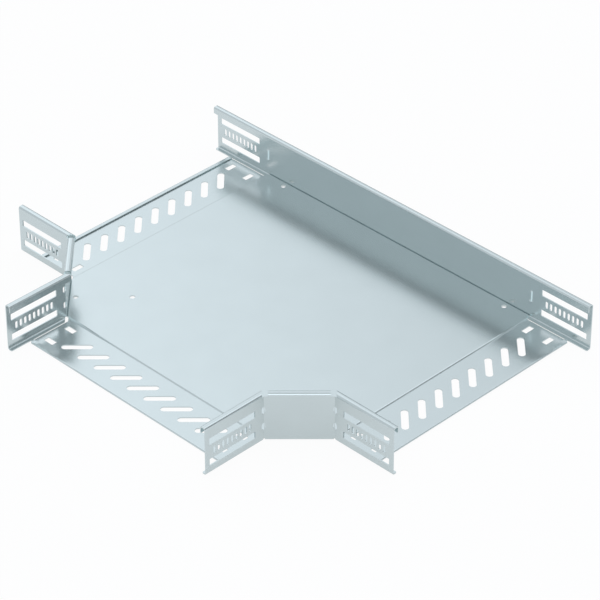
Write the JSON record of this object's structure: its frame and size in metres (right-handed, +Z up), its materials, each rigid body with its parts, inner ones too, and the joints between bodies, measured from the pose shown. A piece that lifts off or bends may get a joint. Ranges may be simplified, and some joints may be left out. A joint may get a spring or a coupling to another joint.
{
  "type": "cable tray tee",
  "caption": "Flat tee for a perforated cable tray: a run with a branch off one side, low folded walls with joint slots, slanted floor slots and hemmed floor ends.",
  "frame": {"origin": "centre of the overall box, on the plane that the floor's end zones rest on", "axes": "+X along the run, -Y towards the branch, +Z up out of the open side"},
  "size_m": [0.553, 0.4244, 0.0575],
  "materials": {
    "galvanised_sheet": "bright zinc coating on rolled sheet, smooth and slightly blurred reflections"
  },
  "bodies": {
    "root": {"floor_plate": "galvanised_sheet", "back_rail": "galvanised_sheet", "left_corner_side": "galvanised_sheet", "right_corner_side": "galvanised_sheet"}
  },
  "joints": []
}
